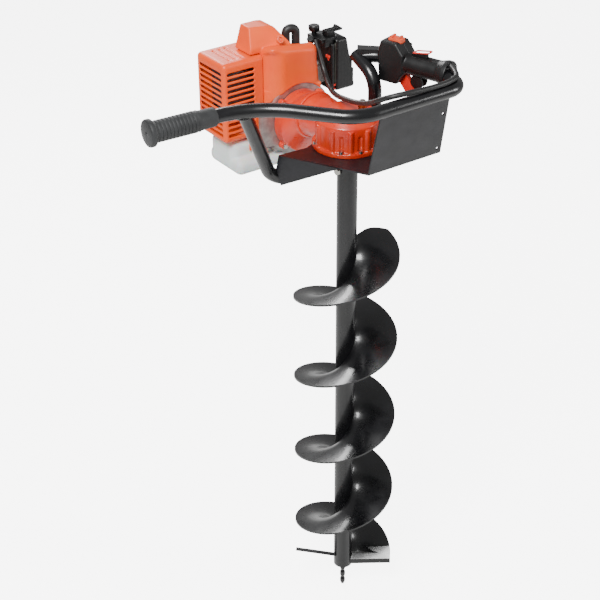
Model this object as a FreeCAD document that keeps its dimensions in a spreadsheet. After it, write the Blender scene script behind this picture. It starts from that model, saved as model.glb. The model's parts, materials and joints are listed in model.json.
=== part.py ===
# One-man petrol auger with a 200 mm bit, for holes through ice or earth.
# Origin: the tip of the pilot point. +Z runs up the auger, +Y from the operator's plate to
# the engine, +X from the muffler to the air filter. Millimetres.
import FreeCAD, Part
import Sketcher
import math
import os
import re
from FreeCAD import Placement, Rotation, Vector

doc = FreeCAD.newDocument("ice_auger")
sheet = doc.addObject("Spreadsheet::Sheet", "Sizes")

# The driving dimensions. Every name becomes an alias on the sheet.
DRIVING = {
    # bit
    "flight_radius": 100, "flight_pitch": 180, "flight_turns": 4.16, "flight_sheet": 4,
    "flight_base": 90, "stem_radius": 19, "stem_bore": 16, "stem_base": 62, "stem_top": 1004,
    "blade_chord": 34, "blade_thick": 7, "blade_tilt": 40, "pilot_radius": 5.5,
    "spindle_radius": 10, "spindle_base": 940, "spindle_top": 1093,
    "cross_bolt": 4, "cross_bolt_height": 990,
    # frame
    "tray_top": 1038, "tray_sheet": 3, "plate_rise": 120, "plate_lean": 14.2,
    "flange_drop": 58, "bar_radius": 12.25, "bar_wall": 2, "bar_height": 1163,
    "hip_hole": 3, "leg_radius": 12.25,
    # left grip
    "grip_length": 125, "grip_radius": 18.5, "grip_flange": 23.5, "grip_collar": 16,
    # throttle handle
    "shell_radius": 19.5, "shell_height": 1167, "block_width": 42, "block_length": 56,
    "block_rise": 38, "block_drop": 38, "conduit_radius": 4.75,
    # gearbox
    "box_radius": 58, "box_flange": 64, "box_wall": 5, "box_height": 64, "neck_radius": 41,
    "mesh_height": 1067.25, "neck_end": 96, "seal_radius": 21,
    # gears
    "crown_teeth": 56, "bevel_teeth": 8, "crown_tooth_share": 0.2,
    "bevel_module": 1.75, "bevel_face": 13,
    "wheel_teeth": 40, "pinion_teeth": 10, "spur_module": 1.25, "spur_face": 9,
    # clutch and engine
    "crank_height": 1036, "bell_radius": 57, "bell_end": 149.3, "drum_radius": 40,
    "drum_depth": 22, "case_radius": 50, "case_start": 149.5, "case_end": 236, "crank_throw": 17,
    "piston_radius": 22, "barrel_radius": 26, "fin_radius": 34, "cylinder_back": 190,
    "head_top": 1152, "cover_left": 62, "cover_right": 49, "cover_front": 146, "cover_top": 1182,
    "hump_top": 1211, "arch_radius": 67,
    "guard_left": 148, "guard_front": 172, "guard_back": 264, "guard_top": 1164,
    "guard_base": 1011, "guard_slots": 12, "starter_radius": 56, "starter_end": 284,
    "tank_left": 131, "tank_right": 100, "tank_base": 944, "tank_top": 976,
    "filter_left": 78, "filter_right": 131, "filter_front": 152, "filter_back": 208,
    "filter_base": 1066, "filter_top": 1168,
}
for row, (name, number) in enumerate(DRIVING.items(), 1):
    sheet.set(f"A{row}", name)
    sheet.set(f"B{row}", str(number))
    sheet.setAlias(f"B{row}", name)
doc.recompute()

X = Vector(1, 0, 0)
Y = Vector(0, 1, 0)
Z = Vector(0, 0, 1)
nodes = []


def size(name):
    """A driving dimension, read from the sheet."""
    return float(sheet.get(name))


def bound(text):
    """An expression for setExpression, from sheet names and arithmetic."""
    return re.sub(r"[a-z][a-z_]+", lambda word: "Sizes." + word.group(0), str(text))


def worked_out(text):
    """The number that a bound expression starts at: a plain sum of products of names and numbers."""
    total = 0.0
    for sign, term in re.findall(r"([+-]?)\s*([^+\-\s][^+-]*)", str(text)):
        product = 1.0
        for factor in re.findall(r"([*/]?)\s*([\w.]+)", term):
            number = size(factor[1]) if factor[1] in DRIVING else float(factor[1])
            product = product / number if factor[0] == "/" else product * number
        total += -product if sign == "-" else product
    return total


def node(label, piece):
    """Name a finished sub-part; its label names its file."""
    piece.Label = label
    nodes.append(piece)
    return piece


def at(x, y, z, along=Z, turn=0):
    """A placement at a point, its own Z laid along a direction, turned about it first."""
    return Placement(Vector(x, y, z), Rotation(Z, along) * Rotation(Z, turn))


def primitive(kind, name, place, **sizes):
    """A Part primitive whose sizes are bound to the sheet."""
    piece = doc.addObject("Part::" + kind, name)
    for dimension, text in sizes.items():
        piece.setExpression(dimension, bound(text))
    piece.Placement = place
    return piece


def rod(name, radius, length, x, y, z, along=Z):
    return primitive("Cylinder", name, at(x, y, z, along), Radius=radius, Height=length)


def cone(name, first, last, length, x, y, z, along=Z):
    return primitive("Cone", name, at(x, y, z, along), Radius1=first, Radius2=last, Height=length)


def block(name, length, width, height, x, y, z):
    return primitive("Box", name, at(x, y, z), Length=length, Width=width, Height=height)


def fused(name, *pieces):
    piece = doc.addObject("Part::MultiFuse", name)
    piece.Shapes = list(pieces)
    return piece


def cut(name, base, *tools):
    tool = tools[0] if len(tools) == 1 else fused(name + "_tools", *tools)
    piece = doc.addObject("Part::Cut", name)
    piece.Base = base
    piece.Tool = tool
    return piece


def common(name, first, second):
    piece = doc.addObject("Part::MultiCommon", name)
    piece.Shapes = [first, second]
    return piece


def group(name, pieces):
    """Several separate solids that share one node."""
    piece = doc.addObject("Part::Compound", name)
    piece.Links = list(pieces)
    return piece


def feature(name, shape):
    """A sub-part whose shape has no primitive, built with Part's own functions."""
    piece = doc.addObject("Part::Feature", name)
    piece.Shape = shape
    return piece


def outline(body, plane, corners):
    """A closed sketch on one of the body's origin planes, each corner tied to the sheet."""
    sketch = body.newObject("Sketcher::SketchObject", body.Name + "_sketch")
    origin = [item for item in body.Origin.OriginFeatures if item.Role == plane]
    sketch.AttachmentSupport = [(origin[0], "")]
    sketch.MapMode = "FlatFace"
    points = [Vector(worked_out(u), worked_out(v), 0) for u, v in corners]
    count = len(points)
    for index, point in enumerate(points):
        sketch.addGeometry(Part.LineSegment(point, points[(index + 1) % count]), False)
    for index in range(count):
        sketch.addConstraint(Sketcher.Constraint("Coincident", index, 2, (index + 1) % count, 1))
    for index, (point, corner) in enumerate(zip(points, corners)):
        for kind, level, along, text in (("DistanceX", "Vertical", point.x, corner[0]),
                                         ("DistanceY", "Horizontal", point.y, corner[1])):
            if along == 0:
                sketch.addConstraint(Sketcher.Constraint(level, -1, 1, index, 1))
            else:
                number = sketch.addConstraint(Sketcher.Constraint(kind, -1, 1, index, 1, along))
                sketch.setExpression(f"Constraints[{number}]", bound(text))
    return sketch


def padded(name, plane, corners, thickness, place=None):
    """A PartDesign body: a closed outline padded to a thickness."""
    body = doc.addObject("PartDesign::Body", name)
    sketch = outline(body, plane, corners)
    pad = body.newObject("PartDesign::Pad", name + "_pad")
    pad.Profile = sketch
    pad.setExpression("Length", bound(thickness))
    body.Placement = place or Placement()
    return body


def turned(name, corners, place=None):
    """A PartDesign body: a half profile of radius and height, revolved about its own Z."""
    body = doc.addObject("PartDesign::Body", name)
    sketch = outline(body, "XZ_Plane", corners)
    revolution = body.newObject("PartDesign::Revolution", name + "_turn")
    revolution.Profile = sketch
    revolution.ReferenceAxis = (sketch, ["V_Axis"])
    revolution.Angle = 360
    body.Placement = place or Placement()
    return body


def bent_wire(points, ease=0.45):
    """Straight runs joined by tangent arcs, each as large as its two runs allow."""
    points = [Vector(*point) for point in points]
    starts = [points[0]]
    edges = []
    for before, corner, after in zip(points, points[1:], points[2:]):
        into = (corner - before).normalize()
        out = (after - corner).normalize()
        reach = ease * min((corner - before).Length, (after - corner).Length)
        first = corner - into * reach
        last = corner + out * reach
        inward = (out - into).normalize()
        half = into.getAngle(out) / 2
        middle = corner + inward * (reach * (1 - math.cos(half)) / math.sin(half))
        edges.append(Part.LineSegment(starts[-1], first).toShape())
        edges.append(Part.Arc(first, middle, last).toShape())
        starts.append(last)
    edges.append(Part.LineSegment(starts[-1], points[-1]).toShape())
    return Part.Wire(edges)


def swept(points, radius, ease=0.45):
    """A round bar along a bent wire."""
    path = bent_wire(points, ease)
    start = Vector(*points[0])
    along = (Vector(*points[1]) - start).normalize()
    ring = Part.Wire([Part.makeCircle(radius, start, along)])
    return path.makePipeShell([ring], True, False)


def bent_tube(name, points, radius, wall, ease=0.45):
    """A tube with an open bore along a bent wire."""
    return feature(name, swept(points, radius, ease).cut(swept(points, radius - wall, ease)))


# ---------------------------------------------------------------- bit
def auger_tube():
    stem = rod("stem", "stem_radius", "stem_top - stem_base", 0, 0, size("stem_base"))
    bore = rod("stem_hollow", "stem_bore", "spindle_base - stem_base - 24", 0, 0, size("stem_base") + 12)
    socket = rod("stem_socket", "spindle_radius + 0.05", "stem_top - spindle_base + 10", 0, 0,
                 size("spindle_base"))
    hole = rod("stem_hole", "cross_bolt + 0.05", "stem_radius * 4", -2 * size("stem_radius"), 0,
               size("cross_bolt_height"), X)
    node("auger_tube", cut("stem_cut", stem, bore, socket, hole))


def auger_flight():
    """One helical plate, four turns and a little more, its upper outer corner rounded off."""
    inner = size("stem_radius") - 0.1
    outer = size("flight_radius")
    sheet_half = size("flight_sheet") / 2
    height = size("flight_pitch") * size("flight_turns")
    helix = Part.makeHelix(size("flight_pitch"), height, (inner + outer) / 2)
    corners = [Vector(inner, 0, -sheet_half), Vector(outer, 0, -sheet_half),
               Vector(outer, 0, sheet_half), Vector(inner, 0, sheet_half)]
    section = Part.makePolygon(corners + corners[:1])
    plate = Part.Wire(helix.Edges).makePipeShell([section], True, True)
    lead_end = 360 * (size("flight_turns") % 1)
    rounding = 45
    corner = Part.makeBox(rounding + 1, rounding + 1, 80, Vector(outer - rounding, -rounding, height - 40))
    keep = Part.makeCylinder(rounding, 80, Vector(outer - rounding, -rounding, height - 40))
    tool = corner.cut(keep)
    tool.rotate(Vector(), Z, lead_end)
    piece = feature("flight", plate.cut(tool))
    piece.Placement = Placement(Vector(0, 0, size("flight_base")), Rotation(Z, FLIGHT_START))
    node("auger_flight", piece)


FLIGHT_START = -41.0          # direction of the flight's lower end, in degrees from +X
BLADE_RISE = 6.0              # the blades climb a little from hub to tip, in degrees


def cutting_blades():
    """Two flat blades, half a turn apart, tilted down towards their cutting edges."""
    blades = []
    for index in range(2):
        corners = [("0 - blade_chord / 2", "0 - blade_thick / 2"),
                   ("blade_chord / 2", "0 - blade_thick / 2"),
                   ("blade_chord / 2", "blade_thick / 2"),
                   ("8 - blade_chord / 2", "blade_thick / 2")]
        blade = padded(f"blade_{index}", "XZ_Plane", corners, "flight_radius - stem_radius + 3")
        turn = FLIGHT_START + 180 * index
        lay = Rotation(Z, turn) * Rotation(Y, -BLADE_RISE) * Rotation(Z, 90)
        lay = lay * Rotation(Y, -size("blade_tilt"))
        hub = Rotation(Z, turn).multVec(Vector(size("stem_radius") - 3, 0, 0))
        blade.Placement = Placement(Vector(hub.x, hub.y, size("flight_base") - 9), lay)
        blades.append(blade)
    node("cutting_blades", group("blades", blades))


def pilot_point():
    corners = [("0", "0"), ("pilot_radius - 2.5", "3"), ("pilot_radius", "10"), ("pilot_radius", "17"),
               ("pilot_radius - 2", "21"), ("pilot_radius", "27"), ("pilot_radius", "36"),
               ("pilot_radius - 2", "40"), ("pilot_radius", "46"), ("pilot_radius", "56"),
               ("pilot_radius + 3", "stem_base"), ("0", "stem_base")]
    node("pilot_point", turned("pilot", corners))


def output_spindle():
    shaft = rod("spindle", "spindle_radius", "spindle_top - spindle_base", 0, 0, size("spindle_base"))
    hole = rod("spindle_hole", "cross_bolt + 0.05", "spindle_radius * 4",
               -2 * size("spindle_radius"), 0,
               size("cross_bolt_height"), X)
    node("output_spindle", cut("spindle_cut", shaft, hole))
    height = size("cross_bolt_height")
    bolt = rod("cross_shank", "cross_bolt", "stem_radius * 2 + 12", -size("stem_radius") - 2, 0, height, X)
    head = primitive("Prism", "cross_head", at(-size("stem_radius") - 6.5, 0, height, X),
                     Circumradius="cross_bolt * 1.8", Height="4.5")
    nut = primitive("Prism", "cross_nut", at(size("stem_radius") + 1, 0, height, X),
                    Circumradius="cross_bolt * 1.8", Height="6")
    node("coupling_bolt", fused("cross_bolt_piece", bolt, head, nut))


# ---------------------------------------------------------------- gears
def tooth_outline(teeth, module, width=0.30):
    """Radius and half angle of a straight-sided tooth's corners, root first."""
    pitch_radius = teeth * module / 2
    half = math.pi * module * width / 2
    slope = math.tan(math.radians(20))
    root = pitch_radius - 1.0 * module
    tip = pitch_radius + 0.7 * module
    return [(root, (half + 1.0 * module * slope) / root), (tip, (half - 0.7 * module * slope) / tip)]


def toothed_wire(teeth, module, turn):
    """The closed outline of a spur gear in the XY plane, one tooth centred on the turn."""
    (root, root_half), (tip, tip_half) = tooth_outline(teeth, module)
    points = []
    for index in range(int(teeth)):
        centre = math.radians(turn) + 2 * math.pi * index / teeth
        for radius, angle in ((root, -root_half), (tip, -tip_half), (tip, tip_half), (root, root_half)):
            points.append(Vector(radius * math.cos(centre + angle), radius * math.sin(centre + angle), 0))
    return Part.makePolygon(points + points[:1])


def spur(teeth, module, turn, thickness):
    return Part.Face(toothed_wire(teeth, module, turn)).extrude(Vector(0, 0, thickness))


def bevel_pinion():
    """The small bevel gear as a cone of teeth whose apex is on the spindle's axis."""
    heel = size("crown_teeth") * size("bevel_module") / 2
    toe = heel - size("bevel_face")
    large = toothed_wire(size("bevel_teeth"), size("bevel_module"), 90)
    small = large.copy()
    small.scale(toe / heel)
    large.translate(Vector(0, 0, heel))
    small.translate(Vector(0, 0, toe))
    return Part.makeLoft([small, large], True, True)


def crown():
    """The large bevel gear: a disc with radial teeth that narrow towards its centre."""
    heel = size("crown_teeth") * size("bevel_module") / 2
    toe = heel - size("bevel_face")
    module = size("bevel_module")
    pinion_pitch = size("bevel_teeth") * module / 2
    half = math.pi * module * size("crown_tooth_share") / 2
    slope = math.tan(math.radians(20))
    below = -pinion_pitch - 1.1 * module
    above = -pinion_pitch + 0.6 * module
    section = [(-half - 1.1 * module * slope, below), (half + 1.1 * module * slope, below),
               (half - 0.6 * module * slope, above), (-half + 0.6 * module * slope, above)]
    rings = []
    for radius in (toe, heel):
        share = radius / heel
        points = [Vector(radius, across * share, height * share) for across, height in section]
        rings.append(Part.makePolygon(points + points[:1]))
    tooth = Part.makeLoft(rings, True, True)
    teeth = []
    for index in range(int(size("crown_teeth"))):
        copy = tooth.copy()
        copy.rotate(Vector(), Z, 90 + 360 * (index + 0.5) / size("crown_teeth"))
        teeth.append(copy)
    disc = Part.makeCylinder(heel + 0.5, 9, Vector(0, 0, below - 8))
    hub = Part.makeCylinder(18, 12, Vector(0, 0, below - 8))
    bore = Part.makeCylinder(size("spindle_radius"), 40, Vector(0, 0, below - 20))
    root = 0.4
    slope_ring = [Vector(0, 0, root), Vector(heel * 2, 0, below * 2 + root), Vector(heel * 2, 0, 40),
                  Vector(0, 0, 40)]
    above_teeth = Part.Face(Part.makePolygon(slope_ring + slope_ring[:1])).revolve(Vector(), Z, 360)
    disc = disc.cut(above_teeth).fuse(hub.cut(Part.makeCylinder(toe, 40, Vector(0, 0, below + 8))))
    return disc.multiFuse(teeth).cut(bore).removeSplitter()


def gear_train():
    crown_piece = feature("crown", crown())
    crown_piece.Placement = at(0, 0, size("mesh_height"))
    node("crown_gear", crown_piece)
    heel = size("crown_teeth") * size("bevel_module") / 2
    shaft = Part.makeCylinder(8, 98 - 52, Vector(0, 0, 52))
    neck = Part.makeCylinder(4.7, 54 - heel + 3, Vector(0, 0, heel - 3))
    pinion_piece = feature("pinion_shaft", bevel_pinion().fuse(neck).fuse(shaft).removeSplitter())
    pinion_piece.Placement = Placement(Vector(0, 0, size("mesh_height")), Rotation(X, -90))
    node("reduction_shaft", pinion_piece)
    half_pitch = 180 / size("wheel_teeth")
    wheel = spur(size("wheel_teeth"), size("spur_module"), 90 + half_pitch, size("spur_face"))
    wheel = wheel.cut(Part.makeCylinder(8, 40, Vector(0, 0, -10)))
    wheel_piece = feature("wheel", wheel)
    wheel_piece.Placement = Placement(Vector(0, 88.5, size("mesh_height")), Rotation(X, -90))
    node("reduction_gear", wheel_piece)


def clutch():
    """The drum with its pinion, and the two shoes that grip it when the engine speeds up."""
    height = size("crank_height")
    drum = turned("drum", [("6", "0"), ("drum_radius", "0"), ("drum_radius", "drum_depth"),
                           ("drum_radius - 2.5", "drum_depth"), ("drum_radius - 2.5", "3"),
                           ("10", "3"), ("10", "10"), ("6", "10")],
                  at(0, 118, height, Y))
    teeth = spur(size("pinion_teeth"), size("spur_module"), -90, size("spur_face") + 2)
    stub = Part.makeCylinder(6, 29, Vector(0, 0, 11))
    pinion = feature("drum_pinion", teeth.fuse(stub).fuse(Part.makeCylinder(4, 8, Vector(0, 0, -7))))
    pinion.Placement = Placement(Vector(0, 87.5, height), Rotation(X, -90))
    node("clutch_drum", fused("drum_with_pinion", drum, pinion))
    shoes = []
    for index in range(2):
        ring = turned(f"shoe_{index}", [("19", "0"), ("drum_radius - 3.6", "0"),
                                       ("drum_radius - 3.6", "13"), ("19", "13")],
                      at(0, 124, height, Y))
        half = block(f"shoe_half_{index}", "100", "60", "200", 3 if index else -103, 110, height - 100)
        shoes.append(common(f"shoe_piece_{index}", ring, half))
    boss = turned("boss", [("7.05", "0"), ("18", "0"), ("18", "7"), ("7.05", "7")], at(0, 130, height, Y))
    node("clutch_shoes", group("shoes", shoes + [boss]))


# ---------------------------------------------------------------- gearbox
FOOT_BOLTS = (-105, -42, 20, 160, 222)      # degrees about the spindle, from +X


def foot_bolt_spots():
    """Where the bolts stand that hold the gearbox's foot to the tray."""
    return [Rotation(Z, angle).multVec(Vector(size("box_flange") - 4, 0, 0)) for angle in FOOT_BOLTS]


def gearbox():
    top = size("tray_top")
    mesh = size("mesh_height")
    wall = size("box_wall")
    radius = size("box_radius")
    flange = rod("box_foot", "box_flange", "8", 0, 0, top)
    barrel = rod("box_barrel", "box_radius", "box_height - 12", 0, 0, top)
    crown_top = cone("box_shoulder", "box_radius", "box_radius - 12", "12", 0, 0,
                     top + size("box_height") - 12)
    boss = rod("box_boss", "seal_radius + 5", "20", 0, 0, top - 20)
    neck = feature("box_neck", loft_y([(20, mesh + 0.5, 29), (44, mesh + 0.5, 29), (70, mesh - 4, 38.5),
                                       (size("neck_end"), mesh - 7, size("neck_radius"))]))
    solid = [flange, barrel, crown_top, boss, neck]
    for index, angle in enumerate((-122, -90, -58, -26, 8, 172, 205)):
        spot = Rotation(Z, angle).multVec(Vector(radius - 1, 0, 0))
        solid.append(rod(f"box_rib_{index}", "5.5", "box_height - 16", spot.x, spot.y, top))
    cavity = rod("box_cavity", "box_radius - box_wall", "box_height - 12 - box_wall", 0, 0, top + wall)
    throat = rod("box_throat", "22", "56", 0, 0, mesh, Y)
    web_bore = rod("box_web", "14", "30", 0, 50, mesh, Y)
    bay = rod("box_bay", "34.5", "40", 0, 80, mesh - 6, Y)
    seal = rod("box_seal_bore", "seal_radius", "30", 0, 0, top - 20)
    cap = rod("box_top_bearing", "14", "11", 0, 0, 1084)
    plug = rod("box_plug_hole", "5", "40", 28, -5, 1080)
    tools = [cavity, throat, web_bore, bay, seal, cap, plug]
    bolts = []
    for index, spot in enumerate(foot_bolt_spots()):
        tools.append(rod(f"foot_pocket_{index}", "4.4", "30", spot.x, spot.y, top + 8))
        tools.append(rod(f"foot_hole_{index}", "2.5", "20", spot.x, spot.y, top - 5))
        head = rod(f"foot_head_{index}", "4.2", "5", spot.x, spot.y, top + 8)
        shank = rod(f"foot_shank_{index}", "2.5", "14", spot.x, spot.y, top - 6)
        bolts.append(fused(f"foot_bolt_{index}", head, shank))
    node("gearbox_housing", cut("box", fused("box_solid", *solid), *tools))
    node("gearbox_bolts", group("foot_bolts", bolts))
    node("breather_plug", turned("plug", [("0", "0"), ("4.9", "0"), ("4.9", "16"), ("8", "16"),
                                          ("8", "26"), ("5", "31"), ("0", "31")],
                                 at(28, -5, 1086)))
    seal_ring = turned("seal", [("spindle_radius + 0.06", "0"), ("seal_radius", "0"), ("seal_radius", "5"),
                                ("spindle_radius + 0.06", "5")], at(0, 0, top - 20))
    node("oil_seal", seal_ring)
    rings = [("lower_bearing", "spindle_radius", "seal_radius", "13", at(0, 0, top - 14)),
             ("upper_bearing", "spindle_radius", "14", "9", at(0, 0, 1085.2)),
             ("shaft_bearing", "8", "14", "10", at(0, 57, mesh, Y))]
    node("gearbox_bearings", group("bearing_set", [
        turned(name, [(inner + " + 0.06", "0"), (outer, "0"), (outer, thick), (inner + " + 0.06", thick)],
               place) for name, inner, outer, thick, place in rings]))


def loft_y(rings, shrink=0):
    """A smooth round duct along +Y through circles given as distance, height and radius."""
    wires = [Part.Wire([Part.makeCircle(radius - shrink, Vector(0, y, z), Y)]) for y, z, radius in rings]
    return Part.makeLoft(wires, True, True)


BELL_BOLTS = (45, 135, 225, 315)      # degrees about the crank's axis, from straight up


def clutch_housing():
    height = size("crank_height")
    mesh = size("mesh_height")
    start = size("neck_end") + 0.2
    rings = [(start, mesh - 7, size("neck_radius") + 3), (start + 6, mesh - 8, size("neck_radius") + 3),
             (124, height, size("bell_radius")), (size("bell_end") - 1, height, size("bell_radius"))]
    shell = loft_y(rings)
    inner = [(start - 1, mesh - 7, size("neck_radius") - 3), (start + 6, mesh - 8, size("neck_radius") - 2),
             (124, height, size("bell_radius") - 5), (size("bell_end") + 1, height, size("bell_radius") - 5)]
    hollow = loft_y(inner)
    lug_start = size("bell_end") - 13
    tools = [hollow]
    bolts = []
    for index, spot in enumerate(bell_bolt_spots(lug_start)):
        shell = shell.fuse(Part.makeCylinder(6.5, 12, spot, Y))
        tools.append(Part.makeCylinder(2.9, 14, spot, Y))
        tools.append(Part.makeCylinder(4.5, 14, spot, Y * -1))
        head = rod(f"bell_head_{index}", "4.2", "5", spot.x, spot.y - 5, spot.z, Y)
        shank = rod(f"bell_shank_{index}", "2.9", "18.5", spot.x, spot.y, spot.z, Y)
        bolts.append(fused(f"bell_bolt_{index}", head, shank))
    for tool in tools:
        shell = shell.cut(tool)
    node("clutch_housing", feature("bell", shell))
    node("housing_bolts", group("bell_bolts", bolts))


def bell_bolt_spots(y):
    """Where the bell's bolts cross a plane, set a little outside its wall."""
    centre = Vector(0, y, size("crank_height"))
    reach = Vector(0, 0, size("bell_radius") + 2.5)
    return [centre + Rotation(Y, angle).multVec(reach) for angle in BELL_BOLTS]


# ---------------------------------------------------------------- engine
def crankcase():
    """Two aluminium halves that meet across the cylinder's middle."""
    height = size("crank_height")
    start = size("case_start")
    middle = size("cylinder_back")
    end = size("case_end")
    body = rod("case_barrel", "case_radius", "case_end - case_start", 0, start, height, Y)
    face = rod("case_face", "arch_radius + 3", "6", 0, start, height, Y)
    wing = block("case_wing", "60", "6", "64", -86, start, height - 42)
    deck = block("case_deck", "84", "72", "44", -42, 154, height)
    feet = block("case_feet", "104", "70", "14", -52, 154, height - 57)
    whole = fused("case_whole", body, face, wing, deck, feet)
    chamber = rod("case_chamber", "39.5", "42", 0, middle - 21, height, Y)
    spigot = rod("case_spigot", "piston_radius + 4", "60", 0, middle, height)
    line = rod("case_line", "16", "120", 0, start - 5, height, Y)
    seat = block("case_seat", "160", "90", "60", -80, start + 6.05, height + 44)
    holes = [rod(f"case_hole_{index}", "2.9", "9", spot.x, spot.y, spot.z, Y)
             for index, spot in enumerate(bell_bolt_spots(start - 1))]
    hollow = cut("case_hollow", whole, chamber, spigot, line, seat, *holes)
    front = block("case_front_half", "300", "100", "300", -150, middle - 100.05, height - 150)
    rear = block("case_rear_half", "300", "100", "300", -150, middle + 0.05, height - 150)
    node("crankcase_front", common("case_front", hollow, front))
    hollow_again = doc.copyObject(hollow, False)
    node("crankcase_rear", common("case_rear", hollow_again, rear))
    ends = [("front_bearing", start + 8), ("rear_bearing", end - 18)]
    node("crank_bearings", group("case_bearings", [
        turned(name, [("7.06", "0"), ("16", "0"), ("16", "10"), ("7.06", "10")], at(0, y, height, Y))
        for name, y in ends]))


def crankshaft():
    """Two webs and a pin, with the pin straight up at top dead centre."""
    height = size("crank_height")
    middle = size("cylinder_back")
    front = rod("crank_front", "7", "46", 0, middle - 14 - 46, height, Y)
    rear = rod("crank_rear", "7", "60", 0, middle + 14, height, Y)
    pin = rod("crank_pin", "6", "20", 0, middle - 10, height + size("crank_throw"), Y)
    webs = []
    for name, y in (("front", middle - 14), ("rear", middle + 6)):
        disc = rod(f"crank_disc_{name}", "38", "8", 0, y, height, Y)
        trim_left = block(f"crank_trim_a_{name}", "30", "10", "60", 15, y - 1, height + 6)
        trim_right = block(f"crank_trim_b_{name}", "30", "10", "60", -45, y - 1, height + 6)
        webs.append(cut(f"crank_web_{name}", disc, trim_left, trim_right))
    node("crankshaft", fused("crank", front, rear, pin, *webs))
    wheel = turned("wheel_disc",
                   [("7", "0"), ("46", "0"), ("46", "4"), ("14", "4"), ("14", "12"), ("7", "12")],
                   at(0, size("case_end") + 2.5, height, Y))
    blades = []
    for index in range(12):
        blade = block(f"fan_{index}", "22", "10", "2", 23, 0, -1)
        blade.Placement = Placement(Vector(0, size("case_end") + 6, height),
                                    Rotation(Y, 30 * index)).multiply(at(23, 0, -1))
        blades.append(blade)
    node("flywheel", fused("wheel_with_fan", wheel, *blades))


def cylinder():
    height = size("crank_height")
    middle = size("cylinder_back")
    base = height + 44.1
    pieces = [rod("barrel", "barrel_radius", "head_top - crank_height - 53.1", 0, middle, base),
              rod("plug_seat", "13", "20", 0, middle, size("head_top") - 20)]
    for index in range(7):
        pieces.append(rod(f"fin_{index}", "fin_radius", "2.5", 0, middle, base + 8 + 8.2 * index))
    bore = rod("barrel_bore", "piston_radius + 0.06", "head_top - crank_height - 60", 0, middle, base - 1)
    plug = rod("barrel_plug_hole", "5", "40", 0, middle, size("head_top") - 30)
    port = rod("barrel_inlet", "9", "60", 0, middle, 1098, X)
    inlet = block("inlet_pad", "24", "30", "30", 21, middle - 15, 1083)
    outlet = block("outlet_pad", "24", "34", "34", -45, middle - 17, 1100)
    node("cylinder", cut("barrel_cut", fused("barrel_solid", *pieces, inlet, outlet), bore, plug, port))
    crown_height = size("head_top") - 24
    skirt = rod("piston_skirt", "piston_radius", "36", 0, middle, crown_height - 36)
    hollow = rod("piston_hollow", "piston_radius - 3", "32", 0, middle, crown_height - 37)
    pin_hole = rod("piston_hole", "5", "60", 0, middle - 30, crown_height - 20, Y)
    gudgeon = rod("gudgeon", "4.9", "piston_radius * 2 - 4", 0, middle - size("piston_radius") + 2,
                  crown_height - 20, Y)
    node("piston", group("piston_set", [cut("piston_cut", skirt, hollow, pin_hole), gudgeon]))


def shaped_box(low, high, rounding):
    """A rounded block between two corners, all edges filleted."""
    box = Part.makeBox(high[0] - low[0], high[1] - low[1], high[2] - low[2], Vector(*low))
    return box.makeFillet(rounding, box.Edges)


def cylinder_cover():
    """The orange shroud over the cylinder, with a hump over the duct and an arch for the bell."""
    wall = 3
    middle = size("cylinder_back")
    height = size("crank_height")
    left = -size("cover_left")
    right = size("cover_right")
    front = size("cover_front")
    back = size("case_end") - 1

    def skin(inset):
        low = (left + inset, front + inset, height + 30)
        high = (right - inset, back - inset, size("cover_top") - inset)
        shell = shaped_box(low, high, 14 - inset)
        slope = [Vector(left - 1, 165, high[2]), Vector(left - 1, back + 2, high[2] - 34),
                 Vector(left - 1, back + 2, high[2] + 30), Vector(left - 1, 165, high[2] + 30)]
        behind = Part.Face(Part.makePolygon(slope + slope[:1])).extrude(Vector(right - left + 2, 0, 0))
        foot = Part.makeBox(right - left - 2 * inset, back - front - 2 * inset, 30, Vector(*low))
        base = [(-84 + inset, 180 + inset), (10 - inset, front + 6 + inset), (10 - inset, back - 2 - inset),
                (-84 + inset, back - 2 - inset)]
        peak = [(-74 + inset, 200 + inset), (-30 - inset, 184 + inset), (-30 - inset, 228 - inset),
                (-74 + inset, 228 - inset)]
        foot_ring = [Vector(x, y, size("guard_top") + 2) for x, y in base]
        peak_ring = [Vector(x, y, size("hump_top") - inset) for x, y in peak]
        rings = [Part.makePolygon(ring + ring[:1]) for ring in (foot_ring, peak_ring)]
        return shell.cut(behind).fuse(foot).fuse(Part.makeLoft(rings, True, True))

    solid = skin(0).cut(skin(wall))
    open_base = Part.makeBox(right - left - 2 * wall, back - front - 2 * wall, 20,
                             Vector(left + wall, front + wall, height + 20))
    arch = Part.makeCylinder(size("arch_radius"), 40, Vector(0, front - 20, height), Y)
    relief = Part.makeCylinder(size("arch_radius") + 3.5, 120, Vector(0, front + wall, height), Y)
    inlet = Part.makeBox(30, 36, 36, Vector(right - 15, middle - 18, 1080))
    outlet = Part.makeBox(20, 50, 50, Vector(left - 5, middle - 25, 1092))
    tools = [open_base, arch, relief, inlet, outlet]
    for x, y, radius in ((0, middle, 12), (9, middle - 3, 12), (18, middle - 6, 11)):
        tools.append(Part.makeCylinder(radius, 70, Vector(x, y, 1154)))
    tools.append(Part.makeBox(16, 12, 16, Vector(31, back - 8, 1108)))
    for tool in tools:
        solid = solid.cut(tool)
    node("cylinder_cover", feature("cover", solid))


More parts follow.
